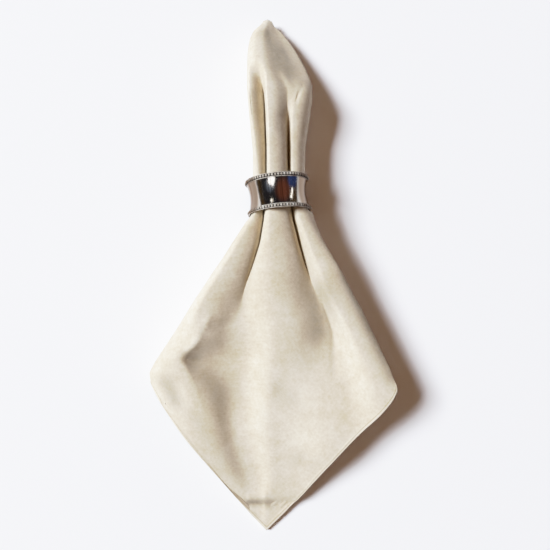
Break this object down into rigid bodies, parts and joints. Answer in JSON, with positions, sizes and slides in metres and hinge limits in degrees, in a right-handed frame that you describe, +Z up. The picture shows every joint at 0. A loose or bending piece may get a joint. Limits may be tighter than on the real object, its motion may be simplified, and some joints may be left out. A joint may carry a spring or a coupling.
{
  "type": "linen napkin in a napkin ring",
  "caption": "Square linen napkin folded in quarters, its sides folded back behind, gathered through a waisted metal ring and laid flat with its open corner spread.",
  "frame": {"origin": "on the table, below the middle of the object's bounding box", "axes": "+Y along the napkin towards the closed corner that stands out above the ring, +X to the right seen from above, +Z up from the table"},
  "size_m": [0.163, 0.355, 0.0434],
  "materials": {
    "linen": "washed plain-weave linen, ivory, softly creased",
    "ring_metal": "polished silver plate with beaded rims"
  },
  "bodies": {
    "root": {"napkin_cloth": "linen", "napkin_ring": "ring_metal"}
  },
  "joints": []
}
